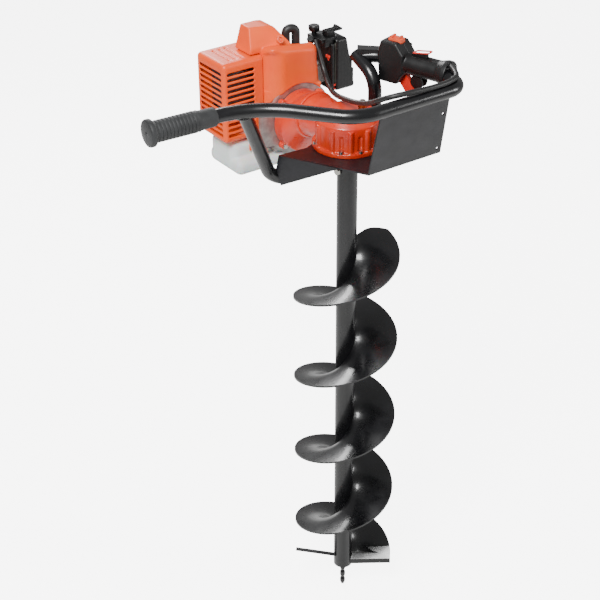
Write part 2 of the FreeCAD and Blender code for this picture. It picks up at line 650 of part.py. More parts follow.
def muffler_guard():
    """The louvred orange guard at the muffler's side."""
    left = -size("guard_left")
    right = -size("cover_left") - 0.4
    front = size("guard_front")
    back = size("guard_back")
    base = size("guard_base")
    top = size("guard_top")
    outer = shaped_box((left, front, base), (right + 14, back, top), 8)
    inner = shaped_box((left + 3, front + 3, base + 3), (right + 30, back - 3, top - 3), 6)
    shell = outer.cut(inner).cut(Part.makeBox(40, 200, 300, Vector(right, front - 50, base - 50)))
    skirt = Part.makeBox(34, 3, 34, Vector(right - 34, front, base - 26))
    shell = shell.fuse(skirt)
    pitch = (top - base - 24) / size("guard_slots")
    for index in range(int(size("guard_slots"))):
        z = base + 12 + index * pitch
        front_slot = Part.makeBox(58, 12, pitch * 0.52, Vector(left + 8, front - 4, z))
        side_slot = Part.makeBox(12, back - front - 20, pitch * 0.52, Vector(left - 4, front + 10, z))
        shell = shell.cut(front_slot).cut(side_slot)
    node("muffler_guard", feature("guard", shell))
    can = shaped_box((left + 14, front + 14, base + 40), (right - 8, back - 24, top - 22), 8)
    pipe = Part.makeCylinder(10, 28, Vector(-73, size("cylinder_back"), 1117), X)
    exit_hole = Part.makeCylinder(6, 20, Vector(left + 8, back - 40, base + 56), X)
    node("muffler", feature("can", can.fuse(pipe).cut(exit_hole)))


def ignition():
    middle = size("cylinder_back")
    top = size("head_top")
    node("spark_plug", turned("plug_body", [("0", "0"), ("4.9", "0"), ("4.9", "12"), ("8.5", "12"),
                                            ("8.5", "19"), ("4.5", "21"), ("4", "34"), ("0", "34")],
                              at(0, middle, top - 12)))
    boot = swept([(0, middle, top + 11), (0, middle, top + 44), (18, middle - 6, top + 44),
                  (18, middle - 6, top + 6)], 8, 0.45)
    hollow = Part.makeCylinder(4.2, 14, Vector(0, middle, top + 10))
    node("plug_boot", feature("boot", boot.cut(hollow)))
    coil = shaped_box((36, size("case_end") + 4, 1100), (60, size("case_end") + 24, 1128), 3)
    node("ignition_coil", feature("coil", coil))
    lead = swept([(18, middle - 6, top + 6.5), (18, middle - 6, top - 5.2), (34, middle + 32, top - 5.2),
                  (34, middle + 32, 1122), (44, size("case_end") + 12, 1114)], 3.4, 0.42)
    node("ignition_lead", feature("lead", lead))


def starter():
    height = size("crank_height")
    begin = size("case_end") + 0.5
    end = size("starter_end")
    shell = turned("starter_shell", [("starter_radius", "0"),
                                     ("starter_radius", "starter_end - case_end - 8"),
                                     ("starter_radius - 12", "starter_end - case_end - 0.5"),
                                     ("0", "starter_end - case_end - 0.5"), ("0", "starter_end - case_end - 4"),
                                     ("starter_radius - 14", "starter_end - case_end - 4"),
                                     ("starter_radius - 3", "starter_end - case_end - 11"),
                                     ("starter_radius - 3", "0")],
                   at(0, begin, height, Y))
    rope_exit = primitive("Box", "rope_exit", at(-20, 258, height + 30),
                          Length="14", Width="14", Height="40")
    tools = [rope_exit]
    for index in range(9):
        slot = primitive("Box", f"starter_slot_{index}", at(0, 0, 0), Length="20", Width="14", Height="4")
        around = Placement(Vector(0, end - 10, height), Rotation(Y, 40 * index + 20))
        slot.Placement = around.multiply(at(18, 0, -2))
        tools.append(slot)
    post = rod("starter_post", "5", "14", 0, end - 17, height, Y)
    seat = turned("seat", [("7", "0"), ("12", "0"), ("12", "10"), ("10", "12.5"), ("7", "12.5")],
                  at(-13, 265, height + 53))
    node("starter_housing", fused("starter_case", cut("starter_open", shell, *tools), post, seat))
    pulley = turned("pulley", [("5.06", "0"), ("31", "0"), ("31", "2"), ("24", "3.5"), ("24", "6.5"),
                               ("31", "8"), ("31", "10"), ("5.06", "10")], at(0, end - 16.5, height, Y))
    node("starter_pulley", pulley)
    grip = turned("pull", [("2.5", "0"), ("6", "0"), ("9", "5"), ("9", "16"), ("6", "20"), ("2.5", "20")],
                  at(-13, 265, height + 66))
    bar = rod("pull_bar", "8", "44", -35, 265, height + 92, X)
    node("starter_handle", fused("pull_handle", grip, bar))


def fuel_tank():
    """A rounded blow-moulded tank under the crankcase, higher at the muffler's side."""
    left = -size("tank_left")
    right = size("tank_right")
    base = size("tank_base")
    top = size("tank_top")

    def skin(inset):
        low = shaped_box((left + inset, 157 + inset, base + inset),
                         (right - inset, 262 - inset, top - inset), 14 - inset)
        high = shaped_box((left + inset, 176 + inset, base + 12 + inset),
                          (-66 - inset, 258 - inset, size("guard_base") - 4 - inset), 17 - inset)
        return low.fuse(high)

    neck = Part.makeCylinder(17, 16, Vector(64, 252, 957), Y)
    mouth = Part.makeCylinder(14, 40, Vector(64, 242, 957), Y)
    node("fuel_tank", feature("tank", skin(0).fuse(neck).cut(skin(2.5)).cut(mouth)))
    node("fuel_cap", turned("cap", [("0", "0"), ("13.7", "0"), ("13.7", "8"), ("22", "8"), ("22", "18"),
                                    ("19", "21"), ("0", "21")], at(64, 260.4, 957, Y)))


def tapered_box(low, high, lean, rounding):
    """A rounded block whose outer side leans in towards its top."""
    corners = [Vector(low[0], low[1], low[2]), Vector(high[0], low[1], low[2]),
               Vector(high[0] - lean * 0.15, low[1], low[2] + 14),
               Vector(high[0] - lean, low[1], high[2]), Vector(low[0], low[1], high[2])]
    box = Part.Face(Part.makePolygon(corners + corners[:1])).extrude(Vector(0, high[1] - low[1], 0))
    return box.makeFillet(rounding, [edge for edge in box.Edges if edge.Length > 20])


def intake():
    middle = size("cylinder_back")
    left = size("filter_left")
    right = size("filter_right")
    front = size("filter_front")
    back = size("filter_back")
    base = size("filter_base")
    top = size("filter_top")
    flange = block("insulator", "11", "34", "34", 45.2, middle - 17, 1081)
    node("intake_block", cut("insulator_cut", flange, rod("insulator_bore", "9", "60", 30, middle, 1098, X)))
    body = fused("carb_body", block("carb_block", "20", "34", "34", 56.3, middle - 17, 1081),
                 rod("carb_bowl", "9", "8", 66, middle, 1073.2))
    node("carburettor", cut("carb_cut", body, rod("carb_bore", "8.5", "80", 50, middle, 1098, X),
                            rod("carb_shaft_hole", "2.56", "30", 66, middle - 11, 1100)))
    lever_arm = block("lever_arm", "12", "7", "2.5", 60, middle - 14.5, 1117.5)
    node("carb_lever", fused("lever", rod("lever_post", "2.5", "14", 66, middle - 11, 1106), lever_arm))
    plate = shaped_box((left - 1.5, front, base + 2), (left + 6, back, top - 8), 3)
    plate = plate.cut(Part.makeCylinder(8.5, 60, Vector(60, middle, 1098), X))
    node("filter_base", feature("filter_plate", plate))
    lean = 20
    outer = tapered_box((left + 6.4, front - 3, base), (right, back + 3, top), lean, 6)
    inner = tapered_box((left + 2, front, base + 3), (right - 3, back, top - 3), lean, 4)
    lid = outer.cut(inner).cut(Part.makeBox(6.5, 200, 300, Vector(left, front - 50, base - 60)))
    for index in range(4):
        y = front + 6 + index * 13
        lid = lid.fuse(Part.makeBox(3, 3.5, 30, Vector(right - 2, y, base + 4)))
    lid = lid.cut(Part.makeCylinder(4.06, 30, Vector(right - 22, middle - 12, base + 46), X))
    lid = lid.cut(Part.makeCylinder(4.06, 12, Vector(left + 15, front + 20, top - 6)))
    node("filter_cover", feature("filter_lid", lid))
    foam = shaped_box((left + 7, front + 2, base + 6), (right - lean - 6, back - 2, top - 10), 4)
    foam = foam.cut(Part.makeCylinder(6, 80, Vector(left, middle - 12, base + 46), X))
    node("filter_element", feature("foam", foam))
    knob = turned("filter_screw", [("0", "0"), ("4", "0"), ("4", "8"), ("10", "8"), ("10", "15"),
                                   ("8", "17"), ("0", "17")], at(right - 13, middle - 12, base + 46, X))
    node("filter_knob", knob)
    choke = fused("choke", rod("choke_post", "4", "17", left + 15, front + 20, top - 5),
                  block("choke_arm", "24", "7", "4", left + 11, front + 16.5, top + 8))
    node("choke_lever", choke)
    node("primer_bulb", turned("bulb", [("0", "0"), ("9", "0"), ("9", "3"), ("6", "9"), ("0", "10.5")],
                               at(66, middle, 1069.4, Z * -1)))


# ---------------------------------------------------------------- frame
TRAY_CORNERS = [("0 - 45.5", "0 - 118"), ("114", "0 - 118"), ("108", "52"), ("46", "52"), ("46", "40"),
                ("0 - 46", "40"), ("0 - 68", "30"), ("0 - 125", "34")]


HIP_HOLES = [(98, 88), (104, 12)]      # across and up the operator's plate


def support_tray():
    """One folded sheet: the tray, a tapered flange on its left and the plate at the operator's hip."""
    top = size("tray_top")
    deck = padded("tray_deck", "XY_Plane", TRAY_CORNERS, "tray_sheet", at(0, 0, top - size("tray_sheet")))
    start = Vector(-125, 34, top)
    along = (Vector(-45.5, -118, top) - start).normalize()
    weld = 1.0
    flange = padded("tray_flange", "XZ_Plane",
                    [("0", "0"), ("118", "0 - 1"), ("4", "0 - flange_drop"),
                     ("0 - 8", "0 - flange_drop + 20")], "tray_sheet")
    flange.Placement = Placement(start - along.cross(Z) * weld, Rotation(along, Z.cross(along), Z, "XZY"))
    plate = padded("hip_plate", "XZ_Plane",
                   [("0 - 45.5", "0"), ("114", "0"), ("104", "plate_rise"), ("0 - 45.5", "plate_rise")],
                   "tray_sheet")
    plate.Placement = Placement(Vector(0, -118 + weld, top - 2 * weld),
                                Rotation(X, size("plate_lean")))
    tools = [rod("tray_centre", "seal_radius + 5.5", "20", 0, 0, top - 10)]
    normal = plate.Placement.Rotation.multVec(Vector(0, -1, 0))
    for index, (across, up) in enumerate(HIP_HOLES):
        spot = plate.Placement.multVec(Vector(across, 0, up))
        tools.append(rod(f"hip_hole_{index}", "hip_hole", "20", *(spot - normal * 10), normal))
        print("hip hole", index, [round(number, 2) for number in spot], [round(n, 4) for n in normal])
    for index, spot in enumerate(foot_bolt_spots()):
        tools.append(rod(f"tray_hole_{index}", "2.5", "20", spot.x, spot.y, top - 10))
    tools.append(feature("tray_cope", swept(bar_route()[1:6], size("bar_radius"), 0.40)))
    node("support_tray", cut("tray", fused("tray_sheets", deck, flange, plate), *tools))


def bar_route():
    level = size("bar_height")
    grip_level = size("shell_height")
    return [(-398, 6, level), (-202, -5, level), (-90, -147, level), (0, -147.5, level),
            (140, -147, level), (136, -60, grip_level), (104, 42, grip_level), (74, 70, grip_level - 2)]


def handlebars():
    """The bar in one bent tube, with the upright and the leg coped to its outside."""
    level = size("bar_height")
    radius = size("bar_radius")
    wall = size("bar_wall")
    outside = swept(bar_route(), radius, 0.40)
    node("handlebar", bent_tube("bar", bar_route(), radius, wall, 0.40))
    upright = swept([(75, 20, size("tray_top") + 0.05), (75, 20, 1140), (73, 76, level + 4)], radius, 0.45)
    bore = swept([(75, 20, size("tray_top")), (75, 20, 1140), (73, 76, level + 4)], radius - wall, 0.45)
    corners = [Vector(66, 62, 0), Vector(80, 80, 0), Vector(110, 50, 0), Vector(97, 36, 0)]
    gusset = Part.Face(Part.makePolygon(corners + corners[:1])).extrude(Vector(0, 0, 13))
    gusset.translate(Vector(0, 0, level + 5.5))
    node("upright_tube", feature("upright", upright.fuse(gusset).cut(bore).cut(outside)))
    leg = [(-222, -3, level), (-138, 47, 1001), (-112, 44, 985), (-80, 2, 1014)]
    leg_piece = bent_tube("leg", leg, size("leg_radius"), wall, 0.42)
    leg_piece.Shape = leg_piece.Shape.cut(outside)
    node("leg_tube", leg_piece)


def left_grip():
    corners = [("bar_radius", "0"), ("grip_flange - 3", "0"), ("grip_flange", "3"), ("grip_flange", "8"),
               ("grip_radius - 1", "14"), ("grip_radius", "24"), ("grip_radius", "92"),
               ("grip_collar + 1", "95"), ("grip_collar", "grip_length"), ("bar_radius", "grip_length")]
    along = Vector(196, -11, 0).normalize()
    start = Vector(-398, 6, size("bar_height"))
    sleeve = turned("grip_sleeve", corners, Placement(start - along * 3.0, Rotation(Z, along)))
    cap = turned("grip_cap", [("3", "0"), ("bar_radius + 1", "0"), ("bar_radius + 1", "2.8"), ("3", "2.8")],
                 Placement(start - along * 3.0, Rotation(Z, along)))
    node("left_grip", fused("grip", sleeve, cap))


def throttle_handle():
    """Two clamshell halves on the bar, with a trigger, a lock-off lever, a switch and a wire catch."""
    level = size("shell_height")
    rear = Vector(97, 66, level)
    front = Vector(136, -60, level)
    along = (rear - front).normalize()
    side = along.cross(Z)
    frame = Rotation(along, side * -1, Z, "XZY")
    place = Placement(front, frame)

    def put(shape):
        shape.Placement = place.multiply(shape.Placement)
        return shape

    width = size("block_width")
    start = 46
    length = size("block_length")
    sleeve = Part.makeCylinder(size("shell_radius"), start + 46, Vector(-40, 0, 0), X)
    swell = Part.makeCylinder(size("shell_radius") + 4, 8, Vector(-40, 0, 0), X)
    collar = Part.makeCone(size("shell_radius") + 4, size("shell_radius"), 14, Vector(-32, 0, 0), X)
    corners = [Vector(start, -1, -16), Vector(start + 14, -1, -size("block_drop")),
               Vector(start + length - 4, -1, -size("block_drop")), Vector(start + length, -1, 14),
               Vector(start + length - 6, -1, size("block_rise")),
               Vector(start + 16, -1, size("block_rise")), Vector(start, -1, 18)]
    box = Part.Face(Part.makePolygon(corners + corners[:1])).extrude(Vector(0, width, 0))
    box.translate(Vector(0, 1 - width / 2, 0))
    box = box.makeFillet(5, [edge for edge in box.Edges if edge.Length > 12])
    lobe = Part.makeCylinder(13, 18, Vector(24, -9, -28), Y)
    shell = sleeve.fuse(swell).fuse(collar).fuse(box).fuse(lobe)
    bore = Part.makeCylinder(size("bar_radius") + 0.05, 400, Vector(-100, 0, 0), X)
    trigger_slot = Part.makeBox(64, 11, 50, Vector(10, -5.5, -63)).fuse(
        Part.makeBox(34, 11, 40, Vector(44, -5.5, -52)))
    lock_slot = Part.makeBox(34, 9, 12, Vector(5, -4.5, 12.8))
    switch_slot = Part.makeBox(27, 17, 14, Vector(start + 14, -8.5, size("block_rise") - 12))
    inlet = Part.makeCylinder(size("conduit_radius") + 0.1, 12, Vector(-41, 0, 17.2), X)
    shell = shell.cut(bore).cut(inlet).cut(trigger_slot).cut(lock_slot).cut(switch_slot)
    shell = put(shell)
    shell = shell.cut(swept(bar_route()[3:], size("bar_radius") + 0.05, 0.40))
    for label, offset in (("throttle_shell_left", 0.1), ("throttle_shell_right", -100.1)):
        half = put(Part.makeBox(300, 100, 200, Vector(-100, offset, -100)))
        kept = shell.common(half)
        node(label, feature(label + "_piece", kept))
    blade = [Vector(50, -5, -15), Vector(64, -5, -15), Vector(70, -5, -28), Vector(46, -5, -57),
             Vector(40, -5, -58), Vector(20, -5, -50), Vector(20, -5, -45), Vector(36, -5, -38),
             Vector(46, -5, -24)]
    trigger = Part.Face(Part.makePolygon(blade + blade[:1])).extrude(Vector(0, 10, 0))
    hole = Part.makeCylinder(2.05, 20, Vector(58, -10, -21), Y)
    node("throttle_trigger", feature("trigger", put(trigger.cut(hole))))
    pin = Part.makeCylinder(2, 26, Vector(58, -13, -21), Y)
    node("trigger_pin", feature("pin", put(pin)))
    lever = [Vector(8, -4, 17.5), Vector(36, -4, 14.5), Vector(36, -4, 21), Vector(8, -4, 27)]
    lock = Part.Face(Part.makePolygon(lever + lever[:1])).extrude(Vector(0, 8, 0))
    node("lock_off_lever", feature("lock", put(lock)))
    loop = bent_wire([(34, 0, 24), (34, 7, 24.2), (2, 7, 30), (2, -7, 30), (34, -7, 24.2),
                      (34, -1.5, 24)], 0.3)
    ring = Part.Wire([Part.makeCircle(1.4, Vector(34, 0, 24), Y)])
    node("throttle_catch", feature("catch", put(loop.makePipeShell([ring], True, False))))
    switch = Part.makeBox(25, 15, 10, Vector(start + 15, -7.5, size("block_rise") - 7))
    tab = Part.makeBox(4, 13, 5, Vector(start + 18, -6.5, size("block_rise") + 2.5))
    tab_rear = Part.makeBox(4, 13, 5, Vector(start + 33, -6.5, size("block_rise") + 2.5))
    node("stop_switch", feature("switch", put(switch.fuse(tab).fuse(tab_rear))))
    screws = []
    for x, z in ((start + 12, 26), (start + length - 12, -28), (start + length - 12, 28)):
        screws.append(put(Part.makeCylinder(3, 1.6, Vector(x, 1 - width / 2 - 1, z), Y * -1)))
    node("shell_screws", feature("screws", Part.makeCompound(screws)))


def throttle_conduit():
    """The cable's outer sheath, from the carburettor over the gearbox and along the bar to the handle."""
    level = size("bar_height") + size("bar_radius") + size("conduit_radius") + 0.3
    route = [(58, 178, 1166), (57.6, 164, 1140), (57.6, 146, 1108), (38, 104, 1098), (18, 60, 1106),
             (2, 16, 1119), (-6, -30, 1129), (-16, -82, 1148), (-23, -121, 1171), (-4, -147, level + 3),
             (60, -150, level), (108, -148, level), (136, -134, level + 2), (146.4, -94.5, 1184.4)]
    wire = bent_wire(route, 0.42)
    node("throttle_conduit", feature("conduit", swept(route, size("conduit_radius"), 0.42)))
    print("conduit length", round(wire.Length, 1))


auger_tube()
auger_flight()
cutting_blades()
pilot_point()
output_spindle()
gear_train()
clutch()
gearbox()
clutch_housing()
crankcase()
crankshaft()
cylinder()
cylinder_cover()
muffler_guard()
ignition()
starter()
fuel_tank()
intake()
support_tray()
handlebars()
left_grip()
throttle_handle()
throttle_conduit()
doc.recompute()

os.makedirs("parts", exist_ok=True)
for piece in doc.Objects:
    if "Invalid" in piece.State or "Error" in piece.State:
        raise RuntimeError(f"{piece.Name} failed: {piece.State}")
for piece in nodes:
    shape = piece.Shape
    if shape.isNull() or not shape.isValid() or not shape.Solids:
        raise RuntimeError(f"{piece.Label} has no valid solid")
    box = shape.BoundBox
    print(f"{piece.Label:22s} {len(shape.Solids)} {shape.Volume / 1000:9.2f} cm3",
          [round(number) for number in (box.XMin, box.YMin, box.ZMin, box.XMax, box.YMax, box.ZMax)])
    shape.exportStep(f"parts/{piece.Label}.step")
print(len(nodes), "sub-parts")
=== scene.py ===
# One-man petrol auger for ice and earth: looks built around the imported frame. Metres, +Z up the bit,
# +Y from the hip plate to the engine, +X from the muffler to the air filter.
import json
import math

import bpy
from mathutils import Euler, Matrix, Vector


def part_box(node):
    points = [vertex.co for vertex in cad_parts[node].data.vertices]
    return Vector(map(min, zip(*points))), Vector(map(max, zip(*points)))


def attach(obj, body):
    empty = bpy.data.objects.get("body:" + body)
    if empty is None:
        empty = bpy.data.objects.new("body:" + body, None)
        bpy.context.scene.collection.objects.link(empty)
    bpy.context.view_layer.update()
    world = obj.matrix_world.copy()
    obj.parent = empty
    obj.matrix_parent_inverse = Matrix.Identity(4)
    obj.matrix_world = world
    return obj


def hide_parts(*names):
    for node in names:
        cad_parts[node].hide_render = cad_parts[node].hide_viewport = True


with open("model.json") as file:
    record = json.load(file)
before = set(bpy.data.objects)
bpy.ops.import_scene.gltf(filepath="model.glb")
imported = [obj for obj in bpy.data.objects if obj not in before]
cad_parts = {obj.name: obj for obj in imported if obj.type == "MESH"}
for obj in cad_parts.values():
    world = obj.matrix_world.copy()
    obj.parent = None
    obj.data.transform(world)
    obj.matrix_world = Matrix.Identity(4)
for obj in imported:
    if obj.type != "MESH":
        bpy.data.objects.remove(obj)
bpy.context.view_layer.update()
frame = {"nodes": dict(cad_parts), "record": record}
nodes = frame["nodes"]
print("frame loaded")

mm = 0.001


# ---- finishes

def linearFromHex(hexColour):
    channels = [int(hexColour[start:start + 2], 16) / 255 for start in (1, 3, 5)]
    return [c / 12.92 if c <= 0.04045 else ((c + 0.055) / 1.055) ** 2.4 for c in channels] + [1.0]


def addNode(tree, kind, links=None, values=None, **settings):
    node = tree.nodes.new("ShaderNode" + kind)
    for name, value in settings.items():
        setattr(node, name, value)
    for socket, value in (values or {}).items():
        node.inputs[socket].default_value = value
    for socket, source in (links or {}).items():
        tree.links.new(source, node.inputs[socket])
    return node


def newFinish(name, **shaderValues):
    # a named material with its shader's own sockets set, and Object coordinates ready to use
    material = bpy.data.materials.new(name)
    material.use_nodes = True
    tree = material.node_tree
    shader = tree.nodes["Principled BSDF"]
    for socket, value in shaderValues.items():
        shader.inputs[socket.replace("_", " ")].default_value = value
    coordinates = addNode(tree, "TexCoord").outputs["Object"]
    return material, tree, shader, coordinates


def mottle(tree, coordinates, grainMm, low, high, detail=3.0, spread=(0.35, 0.65)):
    # soft blotches of two colours at a real size
    noise = addNode(tree, "TexNoise", {"Vector": coordinates}, {"Scale": 1000 / grainMm, "Detail": detail})
    ramp = addNode(tree, "ValToRGB", {"Fac": noise.outputs["Fac"]})
    ramp.color_ramp.elements[0].position = spread[0]
    ramp.color_ramp.elements[1].position = spread[1]
    ramp.color_ramp.elements[0].color = linearFromHex(low)
    ramp.color_ramp.elements[1].color = linearFromHex(high)
    return ramp.outputs["Color"]


def unevenGloss(tree, coordinates, grainMm, low, high):
    noise = addNode(tree, "TexNoise", {"Vector": coordinates}, {"Scale": 1000 / grainMm, "Detail": 4.0})
    spread = addNode(tree, "MapRange", {"Value": noise.outputs["Fac"]},
                     {"From Min": 0.3, "From Max": 0.7, "To Min": low, "To Max": high})
    return spread.outputs["Result"]


def relief(tree, coordinates, grainMm, depthMm, detail=2.0):
    noise = addNode(tree, "TexNoise", {"Vector": coordinates}, {"Scale": 1000 / grainMm, "Detail": detail})
    return addNode(tree, "Bump", {"Height": noise.outputs["Fac"]},
                   {"Strength": 1.0, "Distance": depthMm * mm}).outputs["Normal"]


def powderCoat():
    # black polyester powder coat on steel, baked: deep gloss with a faint orange peel
    material, tree, shader, place = newFinish("glossBlackPowderCoat", IOR=1.5, Coat_Weight=0.4,
                                              Coat_Roughness=0.12)
    tree.links.new(mottle(tree, place, 60, "#08080A", "#0E0E11"), shader.inputs["Base Color"])
    tree.links.new(unevenGloss(tree, place, 25, 0.24, 0.36), shader.inputs["Roughness"])
    tree.links.new(relief(tree, place, 3.0, 0.05), shader.inputs["Normal"])
    return material


def trayCoat():
    # the same coat on the folded tray, a little greyer where it catches scuffs from boots and ice
    material, tree, shader, place = newFinish("scuffedBlackPowderCoat", IOR=1.5, Coat_Weight=0.1,
                                              Coat_Roughness=0.25)
    slanted = addNode(tree, "Mapping", {"Vector": place},
                      {"Scale": (1.0, 1.0, 2.0), "Rotation": (0.3, 0.5, 0.2)}).outputs["Vector"]
    tree.links.new(mottle(tree, slanted, 45, "#131316", "#1B1B20", 5.0), shader.inputs["Base Color"])
    tree.links.new(unevenGloss(tree, place, 30, 0.34, 0.5), shader.inputs["Roughness"])
    tree.links.new(relief(tree, place, 2.5, 0.05), shader.inputs["Normal"])
    return material


def orangeNylon():
    # injection-moulded nylon, orange through and through: satin, fine spark-eroded grain
    material, tree, shader, place = newFinish("mouldedOrangeNylon", IOR=1.5, Coat_Weight=0.08,
                                              Coat_Roughness=0.25)
    tree.links.new(mottle(tree, place, 70, "#F5500C", "#FA5F16"), shader.inputs["Base Color"])
    tree.links.new(unevenGloss(tree, place, 30, 0.4, 0.5), shader.inputs["Roughness"])
    tree.links.new(relief(tree, place, 1.2, 0.03), shader.inputs["Normal"])
    return material


def castEnamel():
    # red-orange stoving enamel over cast aluminium: glossy, the casting's pebble showing through
    material, tree, shader, place = newFinish("redEnamelOnCasting", IOR=1.5, Coat_Weight=0.4,
                                              Coat_Roughness=0.15)
    tree.links.new(mottle(tree, place, 35, "#D62C0C", "#E84016"), shader.inputs["Base Color"])
    tree.links.new(unevenGloss(tree, place, 14, 0.26, 0.4), shader.inputs["Roughness"])
    tree.links.new(relief(tree, place, 2.2, 0.14, 4.0), shader.inputs["Normal"])
    return material


def dieCastAluminium():
    # bare pressure-cast aluminium, shot-blasted: pale, matt, slightly grainy metal
    material, tree, shader, place = newFinish("blastedDieCastAluminium", Metallic=0.85)
    tree.links.new(mottle(tree, place, 12, "#A19E9B", "#BDBAB6", 6.0), shader.inputs["Base Color"])
    tree.links.new(unevenGloss(tree, place, 8, 0.42, 0.58), shader.inputs["Roughness"])
    tree.links.new(relief(tree, place, 1.5, 0.1, 4.0), shader.inputs["Normal"])
    return material


def metalFinish(name, low, high, grainMm, gloss, depthMm=0.03, turned=0.0):
    # bare metal: colour, blotches, gloss and tool marks; turned stretches the marks round the axis
    material, tree, shader, place = newFinish(name, Metallic=1.0)
    if turned:
        place = addNode(tree, "Mapping", {"Vector": place}, {"Scale": (1.0, 1.0, turned)}).outputs["Vector"]
    tree.links.new(mottle(tree, place, grainMm, low, high, 4.0), shader.inputs["Base Color"])
    tree.links.new(unevenGloss(tree, place, grainMm, gloss[0], gloss[1]), shader.inputs["Roughness"])
    tree.links.new(relief(tree, place, grainMm / 3, depthMm), shader.inputs["Normal"])
    return material


def plasticFinish(name, low, high, grainMm, gloss, depthMm, ior=1.53, **more):
    # moulded plastic or rubber, coloured through, with the mould's own grain
    material, tree, shader, place = newFinish(name, IOR=ior, **more)
    tree.links.new(mottle(tree, place, 40, low, high), shader.inputs["Base Color"])
    tree.links.new(unevenGloss(tree, place, 20, gloss[0], gloss[1]), shader.inputs["Roughness"])
    tree.links.new(relief(tree, place, grainMm, depthMm, 4.0), shader.inputs["Normal"])
    return material


finishes = {
    "powder_black": powderCoat(),
    "shroud_orange": orangeNylon(),
    "cast_red": castEnamel(),
    "cast_aluminium": dieCastAluminium(),
    # ground shafting: bright, with fine rings left by the wheel
    "bright_steel": metalFinish("groundSteelShaft", "#AFB0B2", "#C6C7C9", 6, (0.18, 0.3), 0.01, 12.0),
    # case-hardened gear steel under a film of grease: darker, a little warm
    "gear_steel": metalFinish("hardenedGearSteel", "#7E7C78", "#9A9893", 8, (0.25, 0.4)),
    "bearing_steel": metalFinish("polishedBearingSteel", "#C4C5C8", "#D2D3D6", 10, (0.08, 0.16), 0.005),
    # bright zinc plate on fasteners: pale with a faint yellow cloud
    "zinc_fastener": metalFinish("brightZincPlate", "#BDBBB2", "#D6D4CC", 5, (0.22, 0.36), 0.02),
    "grey_iron": metalFinish("scaledGreyIron", "#4C4845", "#6E6863", 5, (0.45, 0.65), 0.12),
    # turned brass that has dulled to brown
    "brass_vent": metalFinish("dulledTurnedBrass", "#8A5A32", "#B07C48", 7, (0.28, 0.42), 0.02, 10.0),
    # blow-moulded natural polyethylene: milky, light sinks into it
    "tank_natural": plasticFinish("naturalBlownPolyethylene", "#E8E6E4", "#F4F2F0", 4.0, (0.32, 0.45), 0.05,
                                  Subsurface_Weight=0.4, Subsurface_Scale=0.01),
    # glass-filled black nylon: matt, with a coarse spark-eroded grain
    "black_nylon": plasticFinish("glassFilledBlackNylon", "#080809", "#0E0E0F", 1.4, (0.38, 0.52), 0.06),
    "black_rubber": plasticFinish("mouldedBlackRubber", "#191919", "#242424", 2.0, (0.42, 0.55), 0.04, 1.52),
    # closed-cell foam sleeve: soft and dull, tiny cells drawn coarse enough to see
    "foam_grip": plasticFinish("closedCellFoamSleeve", "#1F2021", "#2D2E2F", 1.0, (0.55, 0.75), 0.1, 1.45,
                               Sheen_Weight=0.15, Sheen_Roughness=0.5),
    "red_trigger": plasticFinish("redAcetal", "#C9251A", "#DA3220", 2.5, (0.28, 0.38), 0.02, 1.48),
    "orange_switch": plasticFinish("orangeAcetal", "#EE5534", "#F5683F", 2.5, (0.3, 0.4), 0.02, 1.48),
    # spring wire dipped in red vinyl: soft, slightly lumpy skin
    "red_wire": plasticFinish("redDippedWire", "#CC2E26", "#DE4336", 3.0, (0.3, 0.42), 0.04, 1.5),
    "filter_foam": plasticFinish("oiledFilterFoam", "#34342F", "#4E4E48", 1.2, (0.7, 0.9), 0.4, 1.4),
    # soft clear bulb stained by fuel
    "bulb_clear": plasticFinish("stainedClearBulb", "#7C3E2C", "#96523C", 4.0, (0.2, 0.32), 0.02, 1.41,
                                Subsurface_Weight=0.3, Subsurface_Scale=0.004),
}
scuffedCoat = trayCoat()
slotOf = {entry["node"]: entry["material_slot"] for entry in frame["record"]["subparts"]}


def dress(piece, material):
    piece.data.materials.clear()
    piece.data.materials.append(material)
    return piece


for name, piece in nodes.items():
    dress(piece, finishes[slotOf[name]])
dress(nodes["support_tray"], scuffedCoat)
print("finishes made")

# ---- shaping

def deselectAll():
    bpy.ops.object.select_all(action="DESELECT")


def pick(piece):
    deselectAll()
    piece.select_set(True)
    bpy.context.view_layer.objects.active = piece


def applied(piece, kind, **settings):
    modifier = piece.modifiers.new(kind.lower(), kind)
    for name, value in settings.items():
        setattr(modifier, name, value)
    pick(piece)
    bpy.ops.object.modifier_apply(modifier=modifier.name)
    return piece


def cadCopy(name, source):
    # an editable copy of a CAD node, its loose triangles merged
    copy = nodes[source].copy()
    copy.data = nodes[source].data.copy()
    for key in list(copy.keys()):
        del copy[key]
    copy.parent = None
    copy.name = name
    bpy.context.scene.collection.objects.link(copy)
    pick(copy)
    bpy.ops.object.mode_set(mode="EDIT")
    bpy.ops.mesh.select_all(action="SELECT")
    bpy.ops.mesh.remove_doubles(threshold=0.01 * mm)
    bpy.ops.object.mode_set(mode="OBJECT")
    return copy


def softened(piece, voxelMm, rounds, keep=0.5):
    # every edge eased as a mould's draft and polish leave it
    applied(piece, "REMESH", mode="VOXEL", voxel_size=voxelMm * mm)
    applied(piece, "SMOOTH", factor=0.5, iterations=rounds)
    applied(piece, "DECIMATE", ratio=keep)
    pick(piece)
    bpy.ops.object.shade_smooth()
    return piece


def joined(name, pieces):
    pick(pieces[0])
    for piece in pieces[1:]:
        piece.select_set(True)
    bpy.ops.object.join()
    pieces[0].name = name
    return pieces[0]


def carved(piece, *tools):
    for tool in tools:
        applied(piece, "BOOLEAN", operation="DIFFERENCE", object=tool, solver="EXACT")
        bpy.data.objects.remove(tool)
    return piece


